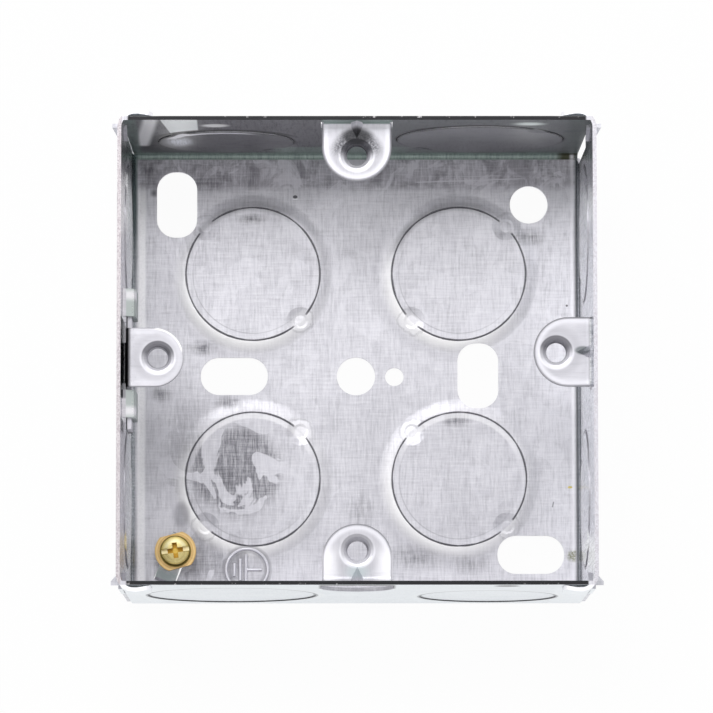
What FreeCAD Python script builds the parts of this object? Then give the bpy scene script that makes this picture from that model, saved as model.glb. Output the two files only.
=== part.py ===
# Flush steel box for one wiring accessory, folded from a single galvanised sheet, with one
# adjustable fixing lug and a brass earth terminal. Sizes are in millimetres.
# The box lies on its back: the back's outer face is z = 0, the opening faces +Z, and +Y is
# the top of the box as it is fixed in a wall.
import FreeCAD, Part
import math
import os

Vector = FreeCAD.Vector

# Sheet and box
box_width = 72.6            # over the two side walls, at the rim
box_height = 71.25          # over the top and bottom walls
box_depth = 35.0
sheet = 0.6
side_bend = 1.25            # inside, where the side walls leave the back
end_bend = 0.6              # the same for the top and bottom walls
side_lean = 0.8             # how far each side wall stands further in at the back than at the rim

# Corners, where the side walls close on the top and bottom walls
wall_seam = 0.12            # gap beside the top and bottom walls
notch_depth = 16.4          # depth at which the side walls' edges step in, down to the back
notches = {-1: (0.25, 0.25), 1: (0.25, 2.3)}    # left and right wall: bottom edge, top edge
tab_depth = 7.3             # tabs of the side walls, wrapped over the top and bottom walls
tab_reach = 5.3
tab_end = 2.0               # last part of the tab, which runs in to the wall
tab_gap = 0.4
tab_radius = 2.7            # outside
tab_end_radius = 1.6

# Barbs of the top and bottom walls, which lock the corners
barb_front = 5.2            # depth of the front edge
barb_reach = 1.05           # past the side wall's outer face
barb_root = 0.6             # inwards from the side wall's inner face
barb_length = 3.3
barb_drop = 0.36            # how far the front edge stands in from the wall's inner face
barb_dip = 1.6
barb_clearance = 0.12

# Fixing lugs
side_lug_inset = 6.15       # hole's axis behind the outer face of a side wall at the rim
end_lug_inset = 5.475       # the same for the top and bottom walls; both leave 60.3 between holes
lug_front = 3.0             # lug's front face behind the rim
lug_width = 10.6
lug_length = 8.9            # from the wall's inner face
lug_bend = 0.9              # inside
lug_edge_round = 0.28
lug_shear_gap = 0.15
lug_thread_bore = 3.3
lug_dish = 5.0              # diameter of the pressed-in mouth
lug_collar_depth = 2.3      # from the lug's front face
rib_half_width = 1.2
rib_height = 2.1
rib_length = 2.1

# Adjustable lug and its guides, on the left wall
slider_sheet = 0.8
slider_gap = 0.6            # between the leg and the wall
slider_width = 8.95
slider_tip = 3.9            # from the hole's axis to the rounded end
slider_inside_bend = 0.1
slider_leg_front = 5.2      # depths of the long leg's two edges
slider_leg_back = 11.0
slider_leg_half = 0.1505 * box_height
slider_rest = -0.82         # where the lug stands, from the middle of its travel
slider_travel = 0.0352 * box_height     # each way, until the neck meets a guide
slider_play = 0.06
slider_foot_width = 0.9     # foot of the leg that lies against the wall
guide_inner = 0.0788 * box_height       # guides, from the middle of the wall
guide_width = 0.0591 * box_height
guide_front = 3.9           # depths of the guide's two feet
guide_back = 12.3
guide_rise = 0.8
guide_bend = 0.3

# Knockouts
# Their sizes and places are shares of the wall that they lie in, so that they keep clear of the
# lugs, the guides and the corners.
end_small_knockout = 0.2886 * box_width
end_large_knockout = 0.354 * box_width
side_knockout = 0.29465 * box_height
back_knockout = min(end_small_knockout, side_knockout)
back_knockout_x = 0.22176 * box_width
back_knockout_y = 0.22644 * box_height
end_small_along = 0.27686 * box_width
end_large_along = 0.26308 * box_width
side_knockout_along = 0.2883 * box_height
small_knockout_down = 0.6064 * box_depth    # from the rim to the disc's middle
large_knockout_down = 0.5386 * box_depth
knockout_lift = 0.15
shear_width = 0.15
shear_depth = 0.3
tie_width = 3.4
tie_depth = 0.14
tie_reach = 1.1

# Holes in the back: centre x, centre y, size along x, size along y
slot_corner = 2.9
slots = {
    "top_left": (-0.3857 * box_width, 0.3797 * box_height, 6.3, 10.4),
    "middle_left": (-0.2617 * box_width, 0.0, 10.5, 5.9),
    "middle_right": (0.2624 * box_width, 0.1, 6.4, 10.3),
    "bottom_right": (0.37466 * box_width, -0.393 * box_height, 10.4, 6.0),
}
corner_hole = (0.3733 * box_width, 0.3797 * box_height, 5.95)
centre_hole = (0.0, 0.0, 6.0)
pilot_hole = (6.0, -0.1, 2.9)

# Earth terminal
earth_x = 8.25 - box_width / 2
earth_y = 7.875 - box_height / 2
bridge_angle = 248.0        # direction of the bridge's long ramp
bridge_width = 3.2
bridge_pad_round = 4.7      # round pad of the bridge around the thread
bridge_height = 2.8         # pad's top above the back's inner face
bridge_foot = 5.0           # long ramp's foot, from the screw
bridge_pad = 2.7            # pad's end on that side
bridge_short_foot = 2.9
bridge_short_pad = 2.4
bridge_bend = 0.3
bridge_slit = 0.12
screw_thread = 3.1
screw_play = 0.05
screw_seat = 0.03           # running clearance under the head
screw_length = 3.3          # under the head
screw_head = 4.3
screw_head_height = 1.9
screw_dome = 0.35
slot_width = 0.65
slot_depth = 0.7
slot_angle = 8.0
cross_reach = 2.4           # tip to tip
cross_width = 0.75
cross_depth = 1.2
washer_size = 6.4
washer_flats = 5.35
washer_flat_angle = 105.0
washer_sheet = 0.9
washer_well = 4.75
washer_well_depth = 0.3
washer_hole = 3.6
collar_wall = 0.5
collar_depth = 1.8          # from the pad's top

half_width = box_width / 2
half_height = box_height / 2
over = 2.0                  # how far cutting tools run past what they cut


def unit(vector):
    length = math.hypot(vector[0], vector[1])
    return vector[0] / length, vector[1] / length


def corner_arc(before, corner, after):
    """Start, middle and end of the arc that rounds a corner (a, b, radius)."""
    a, b, radius = corner
    back = unit((before[0] - a, before[1] - b))
    on = unit((after[0] - a, after[1] - b))
    half = math.acos(max(-1.0, min(1.0, back[0] * on[0] + back[1] * on[1]))) / 2
    reach = radius / math.tan(half)
    middle = unit((back[0] + on[0], back[1] + on[1]))
    out = radius / math.sin(half) - radius
    return ((a + back[0] * reach, b + back[1] * reach),
            (a + middle[0] * out, b + middle[1] * out),
            (a + on[0] * reach, b + on[1] * reach))


def outline(corners, place):
    """Closed face through corners (a, b, radius); place turns (a, b) into a point."""
    stretches = []
    for index, corner in enumerate(corners):
        if corner[2] > 0:
            before = corners[index - 1]
            after = corners[(index + 1) % len(corners)]
            stretches.append([place(*point) for point in corner_arc(before, corner, after)])
        else:
            stretches.append([place(corner[0], corner[1])])
    edges = []
    for index, stretch in enumerate(stretches):
        if len(stretch) == 3:
            edges.append(Part.Arc(*stretch).toShape())
        start = stretch[-1]
        end = stretches[(index + 1) % len(stretches)][0]
        if start.distanceToPoint(end) > 1e-6:
            edges.append(Part.LineSegment(start, end).toShape())
    return Part.Face(Part.Wire(edges))


def folded(path, thickness, inside):
    """Corners of a folded sheet: one face follows path, the other lies to its left."""
    runs = [unit((q[0] - p[0], q[1] - p[1])) for p, q in zip(path, path[1:])]
    near = []
    far = []
    for index, point in enumerate(path):
        before = runs[max(index - 1, 0)]
        after = runs[min(index, len(runs) - 1)]
        share = 1 + before[0] * after[0] + before[1] * after[1]
        across = (-(before[1] + after[1]) / share, (before[0] + after[0]) / share)
        turn = before[0] * after[1] - before[1] * after[0]
        radii = (0, 0)
        if 0 < index < len(path) - 1 and abs(turn) > 1e-6:
            radii = (inside + thickness, inside) if turn > 0 else (inside, inside + thickness)
        near.append((point[0], point[1], radii[0]))
        far.append((point[0] + across[0] * thickness, point[1] + across[1] * thickness, radii[1]))
    return near + far[::-1]


def swept(corners, place, along):
    """Prism of an outline, centred on it and as long as the vector along."""
    shape = outline(corners, place).extrude(along)
    shape.translate(along * -0.5)
    return shape


def drum(centre, axis, diameter, length):
    """Cylinder that starts at centre and runs along axis."""
    return Part.makeCylinder(diameter / 2, length, centre, axis)


def joined(first, others):
    return first.fuse(others).removeSplitter()


class Wall:
    """One wall: u runs along it, q inwards from its inner face at the rim, z up the depth."""

    def __init__(self, inward, reach, lean):
        self.inward = inward
        self.along = Vector(0, 0, 1).cross(inward)
        self.reach = reach
        self.lean = lean

    def inner(self, z):
        return self.lean * (box_depth - z) / box_depth

    def point(self, u, q, z):
        return self.along * u + self.inward * (q - self.reach) + Vector(0, 0, z)

    def section(self, q, z):
        return self.point(0, q, z)

    def face(self, u, z):
        return self.point(u, 0, z)

    def leaned(self):
        """Placement whose origin is on the inner face at the rim, x along, y to the rim, z in."""
        up = Vector(0, 0, box_depth) - self.inward * self.lean
        up.normalize()
        normal = self.along.cross(up)
        turn = FreeCAD.Rotation(self.along, up, normal, "ZXY")
        return FreeCAD.Placement(self.point(0, 0, box_depth), turn)


side_thickness = sheet * math.hypot(side_lean, box_depth) / box_depth
top_wall = Wall(Vector(0, -1, 0), half_height - sheet, 0.0)
bottom_wall = Wall(Vector(0, 1, 0), half_height - sheet, 0.0)
left_wall = Wall(Vector(1, 0, 0), half_width - side_thickness, side_lean)
right_wall = Wall(Vector(-1, 0, 0), half_width - side_thickness, side_lean)
back_face = FreeCAD.Placement(Vector(0, 0, sheet), FreeCAD.Rotation())


def tray(half, lean, bend, place, along, edge):
    """Back and two opposite walls as one folded strip, cut to the outline of the walls."""
    lift = over * lean / box_depth
    path = [(-half - lift, box_depth + over), (lean - half, 0),
            (half - lean, 0), (half + lift, box_depth + over)]
    strip = swept(folded(path, sheet, bend), place, along)
    return strip.common(edge)


def side_walls():
    """Back and side walls; their edges run into the tabs and step in towards the back."""
    flat_end = half_height + tab_gap + sheet - tab_radius
    back_end = half_height - sheet - end_bend
    edges = []
    for right, steps in notches.items():
        corners = []
        for top, step in zip((-1, 1), steps):
            run = [(top * flat_end, box_depth), (top * flat_end, box_depth - tab_depth),
                   (top * half_height, box_depth - tab_depth), (top * half_height, box_depth - notch_depth),
                   (top * (half_height - step), box_depth - notch_depth),
                   (top * (half_height - step), sheet + side_bend), (top * back_end, sheet),
                   (top * back_end, -over)]
            corners += run if top < 0 else run[::-1]
        corners = [(y, z, 0) for y, z in corners]
        place = lambda y, z, right=right: Vector(right * (half_width + over) / 2, y, z)
        edges.append(swept(corners, place, Vector(half_width + over, 0, 0)))
    return tray(half_width, side_lean, side_bend, lambda x, z: Vector(x, 0, z),
                Vector(0, box_height + 2 * over, 0), edges[0].fuse(edges[1]))


def top_and_bottom_walls():
    """Back, top and bottom walls; their side edges leave the corner seams."""
    rim = half_width - side_thickness - wall_seam
    back = rim - side_lean
    corners = [(-rim, box_depth, 0), (-back, 0, 0), (-back, -over, 0), (back, -over, 0), (back, 0, 0),
               (rim, box_depth, 0)]
    edge = swept(corners, lambda x, z: Vector(x, 0, z), Vector(0, box_height + 2 * over, 0))
    return tray(half_height, 0.0, end_bend, lambda y, z: Vector(0, y, z),
                Vector(box_width + 2 * over, 0, 0), edge)


def wrapped_tab(right, top):
    """End of a side wall's rim, folded round the corner over the top or bottom wall."""
    outer = half_height + tab_gap + sheet
    corner = outer - tab_radius
    path = [(half_width, corner - sheet), (half_width, outer), (half_width - tab_reach + tab_end, outer),
            (half_width - tab_reach, outer - 0.9 * tab_gap)]
    place = lambda x, y: Vector(right * x, top * y, box_depth)
    slope = Vector(-right * side_lean * tab_depth / box_depth, 0, -tab_depth)
    tab = outline(folded(path, sheet, tab_radius - sheet), place).extrude(slope)
    end = half_width - tab_reach
    trim = [(end, box_depth - tab_depth, tab_end_radius), (half_width + over, box_depth - tab_depth, 0),
            (half_width + over, box_depth, 0), (end, box_depth, tab_end_radius / 2)]
    profile = swept(trim, lambda x, z: Vector(right * x, top * half_height, z),
                    Vector(0, box_height / 2, 0))
    return tab.common(profile)


def barb(right, top):
    """Ear of the top or bottom wall, bent in and pushed out through the side wall; and its slot."""
    front = box_depth - barb_front
    back = front - barb_length
    inner = half_height - sheet
    wall = half_width - side_lean * barb_front / box_depth
    root = wall - side_thickness - barb_root
    dip = Vector(0, -top * (barb_drop + barb_dip), 0)
    start = Vector(right * root, top * inner, front)
    low = [start, Vector(right * (wall + barb_reach), top * (inner - barb_drop), front),
           Vector(right * wall, top * inner, back) + dip, Vector(right * root, top * inner, back) + dip]
    rise = Vector(0, top * sheet, 0)
    low[0] = low[0] - Vector(0, top * barb_drop, 0)
    ear = Part.Face(Part.makePolygon(low + low[:1])).extrude(rise)
    gap = Vector(0, top * barb_clearance, 0)
    ahead = Vector(0, 0, barb_clearance)
    wide = [low[0] + ahead, low[1] + ahead, low[1] - low[0] + low[3] - ahead, low[3] - ahead]
    slot = Part.Face(Part.makePolygon([point - gap for point in wide + wide[:1]])).extrude(rise + gap * 2)
    return ear, slot


def fixed_lug(wall, reach):
    """Lug lanced from a wall and folded in: tongue, pressed hole with collar, corner rib."""
    front = box_depth - lug_front
    at_wall = wall.inner(front)
    lift = lug_bend + sheet
    path = [(at_wall + lug_length, front), (at_wall, front),
            (wall.inner(front + lift), front + lift)]
    strip = swept(folded(path, sheet, lug_bend), wall.section, wall.along * lug_width)
    round_centre = at_wall + lug_length - lug_width / 2
    bar = swept([(-lug_width / 2, -over, 0), (lug_width / 2, -over, 0),
                 (lug_width / 2, round_centre, 0), (-lug_width / 2, round_centre, 0)],
                lambda u, q: wall.point(u, q, front), Vector(0, 0, 2 * (lift + over)))
    nose = drum(wall.point(0, round_centre, front - lift - over), Vector(0, 0, 1),
                lug_width, 2 * (lift + over))
    tongue = strip.common(bar.fuse(nose))
    rounded = [edge for edge in tongue.Edges
               if abs(edge.BoundBox.ZMin - front) < 1e-4 and abs(edge.BoundBox.ZMax - front) < 1e-4
               and edge.Length > lug_bend
               and not is_along(edge, wall.along)]
    tongue = tongue.makeChamfer(lug_edge_round, rounded)
    return pressed_hole(tongue, wall.point(0, wall.reach - reach, front), sheet)


def is_along(edge, direction):
    start = edge.valueAt(edge.FirstParameter)
    end = edge.valueAt(edge.LastParameter)
    chord = end - start
    return edge.Curve.TypeId == "Part::GeomLine" and abs(chord.dot(direction)) > 0.9 * chord.Length


def pressed_hole(plate, centre, thickness):
    """Screw hole with a dished mouth and a collar behind, in a plate whose front is at centre."""
    mouth = lug_dish / 2
    bore = lug_thread_bore / 2
    round_in = mouth - bore
    place = lambda r, z: centre + Vector(r, 0, z)
    lip = mouth + sheet
    dish = [(mouth - round_in * math.cos(turn), round_in * (math.sin(turn) - 1), 0)
            for turn in (0.0, math.pi / 6, math.pi / 3, math.pi / 2)]
    corners = dish + [(lip, 0, 0), (lip, -thickness, 0), (bore + thickness, -thickness, 0),
                      (bore + thickness, -lug_collar_depth, 0), (bore, -lug_collar_depth, 0)]
    collar = outline(corners, place).revolve(centre, Vector(0, 0, 1), 360)
    hole = drum(centre - Vector(0, 0, thickness + over), Vector(0, 0, 1), 2 * mouth, thickness + 2 * over)
    return joined(plate.cut(hole), [collar])


def corner_rib(wall, inset):
    """Three-cornered rib across the fold of a lug; inset moves it out to hollow the back."""
    front = box_depth - lug_front
    at_wall = wall.inner(front)
    low = front - inset
    q = at_wall - inset
    apex = wall.point(0, q, low + rib_height + lug_bend * 0.3)
    tip = wall.point(0, q + rib_length + lug_bend * 0.3, low)
    sides = [wall.point(side * rib_half_width, q, low) for side in (-1, 1)]
    below = wall.point(0, q - sheet, low - sheet)
    faces = [(apex, tip, sides[0]), (apex, sides[1], tip), (apex, sides[0], below),
             (apex, below, sides[1]), (tip, below, sides[0]), (tip, sides[1], below)]
    shell = Part.Shell([Part.Face(Part.makePolygon(list(face) + [face[0]])) for face in faces])
    return Part.Solid(shell)


def lug_window(wall):
    """Opening that the lanced lug leaves in its wall."""
    width = lug_width + 2 * lug_shear_gap
    top = box_depth - lug_front + lug_bend
    fold = math.pi / 2 * (lug_bend + sheet / 2)
    bottom = top - fold - (lug_length - lug_bend) - lug_shear_gap
    corners = [(-width / 2, top, 0), (width / 2, top, 0), (width / 2, bottom, width / 2 - 0.01),
               (-width / 2, bottom, width / 2 - 0.01)]
    return swept(corners, wall.face, wall.inward * 2 * (sheet + side_lean + over))


def knockout_tools(diameter, tie_angle):
    """Material to add and to cut for one knockout, on a sheet whose inner face is z = 0."""
    radius = diameter / 2
    up = Vector(0, 0, 1)
    disc = drum(Vector(0, 0, -sheet / 2), up, diameter - shear_width, sheet / 2 + knockout_lift)
    ring = drum(Vector(0, 0, -shear_depth), up, diameter + shear_width, shear_depth + over)
    ring = ring.cut(drum(Vector(0, 0, -sheet), up, diameter - shear_width, 2 * sheet + over))
    recess = drum(Vector(0, 0, -sheet - over), up, diameter, over + knockout_lift)
    dimples = []
    for angle in (tie_angle, tie_angle + 180):
        away = Vector(math.cos(math.radians(angle)), math.sin(math.radians(angle)), 0)
        keep = Part.makeBox(2 * tie_reach, tie_width, 2 * sheet, Vector(radius - tie_reach, -tie_width / 2, -sheet))
        keep.rotate(Vector(0, 0, 0), up, angle)
        ring = ring.cut(keep)
        floor = away * radius + up * (knockout_lift / 2 - tie_depth)
        dimples.append(Part.makeCone(tie_width / 4, 3 * tie_width / 4, 2 * tie_depth, floor, up))
    return disc, [recess, ring], dimples


def knockouts():
    """Every knockout as (placement, local x, local y, diameter, angle of its ties)."""
    places = []
    for x in (-1, 1):
        for y in (-1, 1):
            places.append((back_face, x * back_knockout_x, y * back_knockout_y,
                           back_knockout, 45 if x * y > 0 else 135))
    for wall in (top_wall, bottom_wall):
        places.append((wall.leaned(), -end_small_along, -small_knockout_down, end_small_knockout, 135))
        places.append((wall.leaned(), end_large_along, -large_knockout_down, end_large_knockout, 45))
    for wall in (left_wall, right_wall):
        places.append((wall.leaned(), -side_knockout_along, -small_knockout_down, side_knockout, 135))
        places.append((wall.leaned(), side_knockout_along, -small_knockout_down, side_knockout, 45))
    return places


def back_holes():
    """Fixing slots and round holes of the back."""
    tools = []
    for x, y, along_x, along_y in slots.values():
        corners = [(x + a * along_x / 2, y + b * along_y / 2, slot_corner)
                   for a, b in ((-1, -1), (1, -1), (1, 1), (-1, 1))]
        tools.append(swept(corners, lambda a, b: Vector(a, b, 0), Vector(0, 0, 2 * (sheet + over))))
    for x, y, diameter in (corner_hole, centre_hole, pilot_hole):
        tools.append(drum(Vector(x, y, -over), Vector(0, 0, 1), diameter, sheet + 2 * over))
    return tools


def guide(side):
    """Strap pressed in from the left wall, and the hole that it leaves there."""
    front = box_depth - guide_front
    back = box_depth - guide_back
    crest = slider_gap + slider_sheet + slider_play + sheet
    inner = left_wall.inner
    path = [(inner(back - sheet), back - sheet), (inner(back), back),
            (inner(back + guide_rise) + crest, back + guide_rise),
            (inner(front - guide_rise) + crest, front - guide_rise),
            (inner(front), front), (inner(front + sheet), front + sheet)]
    middle = left_wall.along * (side * (guide_inner + guide_width / 2))
    width = left_wall.along * guide_width
    strap = swept(folded(path, sheet, guide_bend), left_wall.section, width)
    hole = swept([(-over, back, 0), (over, back, 0), (over, front, 0), (-over, front, 0)],
                 left_wall.section, width * (1 + 2 * lug_shear_gap / guide_width))
    strap.translate(middle)
    hole.translate(middle)
    return strap, hole


def earth_bridge():
    """Bridge pressed up from the back under the earth screw, its collar, and the slot it leaves."""
    turn = math.radians(bridge_angle)
    along = Vector(math.cos(turn), math.sin(turn), 0)
    across = Vector(0, 0, 1).cross(along)
    centre = Vector(earth_x, earth_y, 0)
    place = lambda a, z: centre + along * a + Vector(0, 0, z)
    pad = sheet + bridge_height
    path = [(bridge_foot + sheet, sheet), (bridge_foot, sheet), (bridge_pad, pad),
            (-bridge_short_pad, pad), (-bridge_short_foot, sheet), (-bridge_short_foot - sheet, sheet)]
    strip = swept(folded(path, sheet, bridge_bend), place, across * bridge_width)
    slot = swept([(-bridge_short_foot, -over, 0), (bridge_foot, -over, 0),
                  (bridge_foot, over, 0), (-bridge_short_foot, over, 0)],
                 place, across * (bridge_width + 2 * bridge_slit))
    up = Vector(0, 0, 1)
    bore = screw_thread / 2 + screw_play
    top = centre + Vector(0, 0, pad)
    round_pad = drum(top - up * sheet, up, bridge_pad_round, sheet)
    round_slot = drum(centre - up * over, up, bridge_pad_round + 2 * bridge_slit, 2 * over)
    collar = drum(top - up * collar_depth, up, 2 * (bore + collar_wall), collar_depth)
    thread = drum(top - up * (pad + over), up, 2 * bore, pad + 2 * over)
    return joined(strip, [round_pad, collar]), thread, slot.fuse(round_slot)


def box_body():
    """The whole folded box as one sheet."""
    body = joined(side_walls(), [top_and_bottom_walls()])
    corners = [(right, top) for right in (-1, 1) for top in (-1, 1)]
    body = joined(body, [wrapped_tab(*corner) for corner in corners])
    barbs = [barb(*corner) for corner in corners]
    body = body.cut([slot for ear, slot in barbs])
    body = joined(body, [ear for ear, slot in barbs])
    lug_walls = (top_wall, bottom_wall, right_wall)
    reaches = (half_height - end_lug_inset, half_height - end_lug_inset, half_width - side_lug_inset)
    body = body.cut([lug_window(wall) for wall in lug_walls])
    body = joined(body, [fixed_lug(wall, reach) for wall, reach in zip(lug_walls, reaches)])
    body = joined(body, [corner_rib(wall, 0) for wall in lug_walls])
    body = body.cut([corner_rib(wall, sheet * 0.8) for wall in lug_walls])
    guides = [guide(side) for side in (-1, 1)]
    body = body.cut([hole for strap, hole in guides])
    body = joined(body, [strap for strap, hole in guides])
    strip, thread, slot = earth_bridge()
    body = joined(body.cut(slot), [strip]).cut(thread)
    for place, x, y, diameter, tie_angle in knockouts():
        disc, cuts, dimples = knockout_tools(diameter, tie_angle)
        shift = place.multiply(FreeCAD.Placement(Vector(x, y, 0), FreeCAD.Rotation()))
        for tool in [disc] + cuts + dimples:
            tool.Placement = shift.multiply(tool.Placement)
        body = joined(body, [disc]).cut(cuts + dimples)
    return body.cut(back_holes()).removeSplitter()


def adjustable_lug():
    """Flat lug on a narrow neck, whose long leg slides in the two guides."""
    inner = left_wall.inner
    front = box_depth - lug_front
    leg_top = box_depth - slider_leg_front
    leg_bottom = box_depth - slider_leg_back
    hole = left_wall.reach - half_width + side_lug_inset
    tip = hole + slider_tip
    path = [(inner(leg_bottom) + slider_gap, leg_bottom), (inner(front) + slider_gap, front), (tip, front)]
    section = [(q, z, radius) for q, z, radius in folded([path[2], path[1], path[0]], slider_sheet,
                                                         slider_inside_bend)]
    plate = swept(section, left_wall.section, left_wall.along * slider_width)
    nose_centre = tip - slider_width / 2
    bar = swept([(-slider_width / 2, -over, 0), (slider_width / 2, -over, 0),
                 (slider_width / 2, nose_centre, 0), (-slider_width / 2, nose_centre, 0)],
                lambda u, q: left_wall.point(u, q, box_depth / 2), Vector(0, 0, box_depth))
    nose = drum(left_wall.point(0, nose_centre, 0), Vector(0, 0, 1), slider_width, box_depth)
    plate = plate.common(bar.fuse(nose))
    neck_half = guide_inner - slider_travel
    shoulder = front - slider_sheet - slider_play
    beside = [swept([(side * neck_half, -over, 0), (side * slider_width, -over, 0),
                     (side * slider_width, shoulder, 0), (side * neck_half, shoulder, 0)],
                    left_wall.face, left_wall.inward * 4 * slider_width) for side in (-1, 1)]
    plate = plate.cut(beside)
    plate = pressed_hole(plate, left_wall.point(0, hole, front), slider_sheet)

    def leg(near, far, low, high, half):
        corners = [(inner(low) + near, low, 0), (inner(low) + far, low, 0),
                   (inner(high) + far, high, 0), (inner(high) + near, high, 0)]
        return swept(corners, left_wall.section, left_wall.along * 2 * half)

    slider_face = slider_gap + slider_sheet
    long_leg = leg(slider_gap, slider_face, leg_bottom, leg_top, slider_leg_half)
    foot = leg(slider_play, slider_face - slider_play, leg_bottom, leg_bottom + slider_foot_width, neck_half)
    lug = joined(plate, [long_leg, foot])
    lug.translate(left_wall.along * slider_rest)
    return lug


def earth_washer():
    """Brass clamp washer with two flats and a well for the screw's head."""
    seat = Vector(earth_x, earth_y, sheet + bridge_height)
    up = Vector(0, 0, 1)
    washer = drum(seat, up, washer_size, washer_sheet)
    flats = Part.makeBox(2 * washer_size, washer_flats, washer_sheet,
                         seat - Vector(washer_size, washer_flats / 2, 0))
    flats.rotate(seat, up, washer_flat_angle - 90)
    washer = washer.common(flats)
    well = drum(seat + up * (washer_sheet - washer_well_depth), up, washer_well, over)
    hole = drum(seat - up * over, up, washer_hole, washer_sheet + 2 * over)
    return washer.cut([well, hole])


def earth_screw():
    """Brass screw with a domed head that takes a flat or a cross driver."""
    up = Vector(0, 0, 1)
    seat = Vector(earth_x, earth_y,
                  sheet + bridge_height + washer_sheet - washer_well_depth + screw_seat)
    head = screw_head / 2
    shank = screw_thread / 2
    place = lambda r, z: seat + Vector(r, 0, z)
    chamfer = shank * 0.25
    corners = [(0, -screw_length, 0), (shank - chamfer, -screw_length, 0), (shank, chamfer - screw_length, 0),
               (shank, 0, 0), (head, 0, 0), (head, screw_head_height - screw_dome, 0),
               (head * 0.55, screw_head_height - screw_dome * 0.15, head * 1.6),
               (0, screw_head_height, 0)]
    screw = outline(corners, place).revolve(seat, up, 360)
    crown = seat + up * screw_head_height
    slot = Part.makeBox(2 * screw_head, slot_width, over + slot_depth,
                        crown - Vector(screw_head, slot_width / 2, slot_depth))
    cross = [Part.makeBox(cross_reach, cross_width, over + cross_depth,
                          crown - Vector(cross_reach / 2, cross_width / 2, cross_depth))
             for quarter in (0, 1)]
    cross[1].rotate(crown, up, 90)
    for tool in [slot] + cross:
        tool.rotate(crown, up, slot_angle)
    return screw.cut([slot] + cross)


pieces = {
    "box_body": box_body,
    "adjustable_lug": adjustable_lug,
    "earth_washer": earth_washer,
    "earth_screw": earth_screw,
}

os.makedirs("parts", exist_ok=True)
for name, make in pieces.items():
    shape = make()
    solids = shape.Solids
    solid = solids[0] if len(solids) == 1 else shape
    size = solid.BoundBox
    print(name, "solids", len(solids), "valid", solid.isValid(), "volume", round(solid.Volume, 2),
          "x", round(size.XMin, 3), round(size.XMax, 3), "y", round(size.YMin, 3), round(size.YMax, 3),
          "z", round(size.ZMin, 3), round(size.ZMax, 3))
    solid.exportStep("parts/" + name + ".step")
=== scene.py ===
"""Looks of the flush back box: galvanised sheet, brass earth terminal, pressed earth sign, threads.

Lengths in the tables are millimetres in the box's own frame, and metres in Blender.
"""

import math

import bpy
import numpy as np
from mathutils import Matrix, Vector


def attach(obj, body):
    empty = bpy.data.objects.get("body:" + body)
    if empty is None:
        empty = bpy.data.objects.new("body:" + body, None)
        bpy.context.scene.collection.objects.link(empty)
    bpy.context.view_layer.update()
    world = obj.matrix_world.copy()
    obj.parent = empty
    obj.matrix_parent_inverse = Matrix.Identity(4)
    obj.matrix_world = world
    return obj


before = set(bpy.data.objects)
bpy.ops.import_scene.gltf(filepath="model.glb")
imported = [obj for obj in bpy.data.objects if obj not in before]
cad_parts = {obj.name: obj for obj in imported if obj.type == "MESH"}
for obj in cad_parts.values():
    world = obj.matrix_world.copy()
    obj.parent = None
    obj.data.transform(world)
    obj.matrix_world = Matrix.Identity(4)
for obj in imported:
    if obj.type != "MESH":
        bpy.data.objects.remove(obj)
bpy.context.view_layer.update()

MM = 0.001

# Places on the box, the same as the solids have
SHEET = 0.6
INNER_Y = 35.025            # inner faces of the top and bottom walls
BACK_KNOCKOUT = (16.1, 16.134, 10.476)      # beside the middle, above it, radius
SIDE_KNOCKOUT = (20.541, 13.776, 10.497)    # along the wall, up from the back, radius
END_SMALL = (20.1, 13.776, 10.476)          # the same in the top and bottom walls
END_LARGE = (19.1, 16.149, 12.85)
LUG_HOLE = 30.15            # from the box's middle to each lug's hole
LUG_HOLES = {"right": (LUG_HOLE, 0.0), "top": (0.0, LUG_HOLE), "bottom": (0.0, -LUG_HOLE)}
SLIDER_HOLE = (-LUG_HOLE, -0.82)
LUG_FRONT = 32.0
LUG_BORE = 1.65
EARTH = (-28.05, -27.75)    # axis of the earth screw
SIGN = (-17.0, -30.3)       # middle of the earth sign
SIGN_RADIUS = 3.25

# Dark stains of the back: middle, half the size each way, strength
STAINS = ((15.8, -6.9, 3.0, 1.5, 0.8), (-16.3, 24.8, 3.0, 1.1, 0.8), (9.4, -28.3, 6.0, 2.8, 0.6),
          (17.7, -29.3, 5.0, 2.6, 0.5), (-24.0, 4.5, 3.0, 1.6, 0.9), (-19.9, -4.2, 2.6, 1.4, 0.8),
          (27.4, 21.9, 3.2, 1.8, 0.6), (1.0, -21.0, 3.2, 4.4, 0.4), (-30.4, -2.8, 2.0, 1.6, 0.7))

# Lugs: half the width of each tongue, and where the middle of its rounded end stands
LUG_HALF_WIDTH = 5.3
END_LUG_ROUND = 31.425
SIDE_LUG_ROUND = 32.03
SLIDER_HALF_WIDTH = 4.475
SLIDER_ROUND = -30.725

# Screw: bridge on the sheet, washer with its well, running clearance, head; turn of the slot
SCREW_CROWN = SHEET + 2.8 + 0.9 - 0.3 + 0.03 + 1.9
SLOT_TURN = math.radians(8.0)

# Threads, and the ridges of the earth sign
THREAD_PITCH = 0.6
LUG_THREAD_DEPTH = 0.16
LUG_THREAD_TURNS = 2.0
LUG_THREAD_TOP = LUG_FRONT - 0.95
SCREW_THREAD_RADIUS = 1.54
SCREW_THREAD_DEPTH = 0.05
SCREW_THREAD_TURNS = 4.5
SCREW_THREAD_TOP = 3.6
INTO_METAL = 0.01           # so that a thread starts inside its bore's wall
RIDGE_WIDTH = 0.5
RIDGE_HEIGHT = 0.24

DULL_METAL = 0.5            # metallic share of a dull coat

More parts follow.
